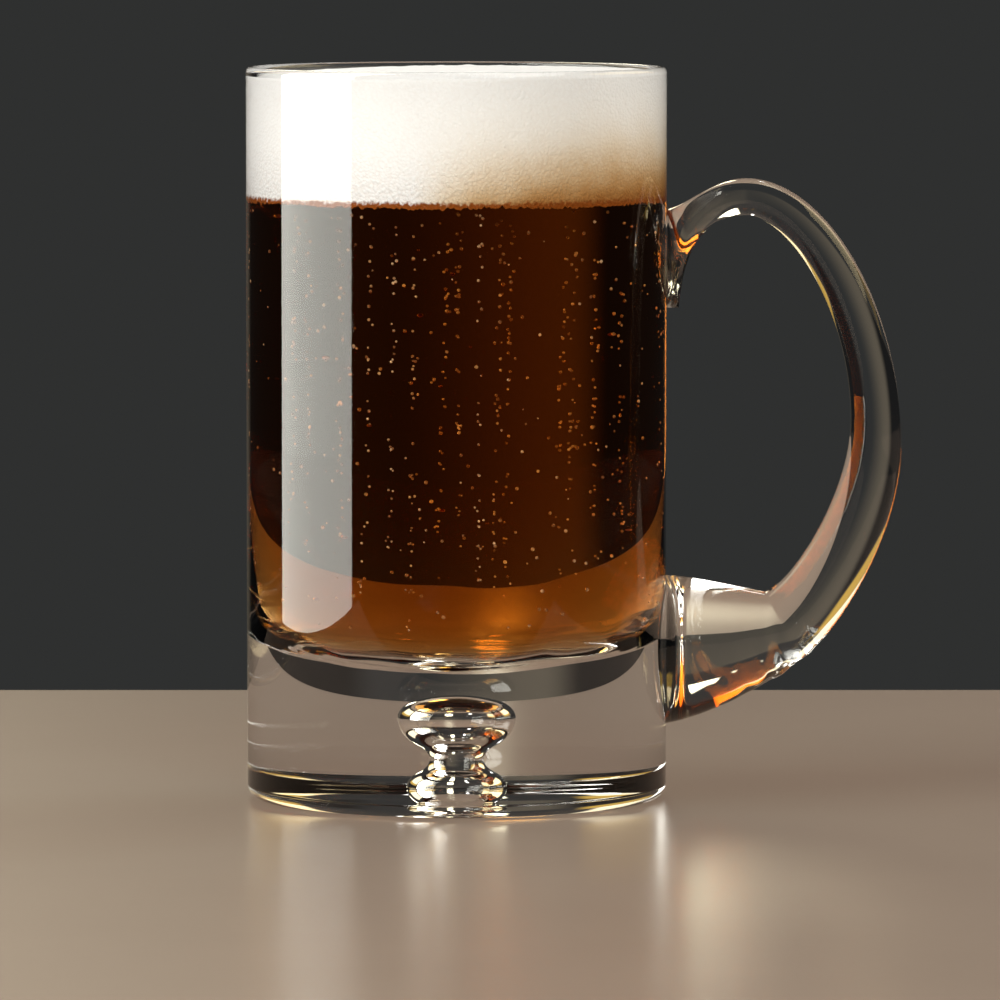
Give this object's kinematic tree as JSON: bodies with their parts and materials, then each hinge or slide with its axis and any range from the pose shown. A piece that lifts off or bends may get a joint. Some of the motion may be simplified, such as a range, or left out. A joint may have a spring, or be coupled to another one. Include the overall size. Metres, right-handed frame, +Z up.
{
  "type": "glass beer mug",
  "caption": "Straight-sided glass beer mug with a fused ear handle and a thick base that traps an air bubble, filled with amber beer under a foam head.",
  "frame": {"origin": "middle of the foot, on the table", "axes": "+Z up along the mug's axis, +X from the axis towards the handle"},
  "size_m": [0.1325, 0.085, 0.1485],
  "materials": {
    "clear_glass": "polished",
    "beer": "gloss",
    "foam": "matte"
  },
  "bodies": {
    "root": {"glass_body": "clear_glass", "handle": "clear_glass", "beer": "beer", "foam_head": "foam"}
  },
  "joints": []
}
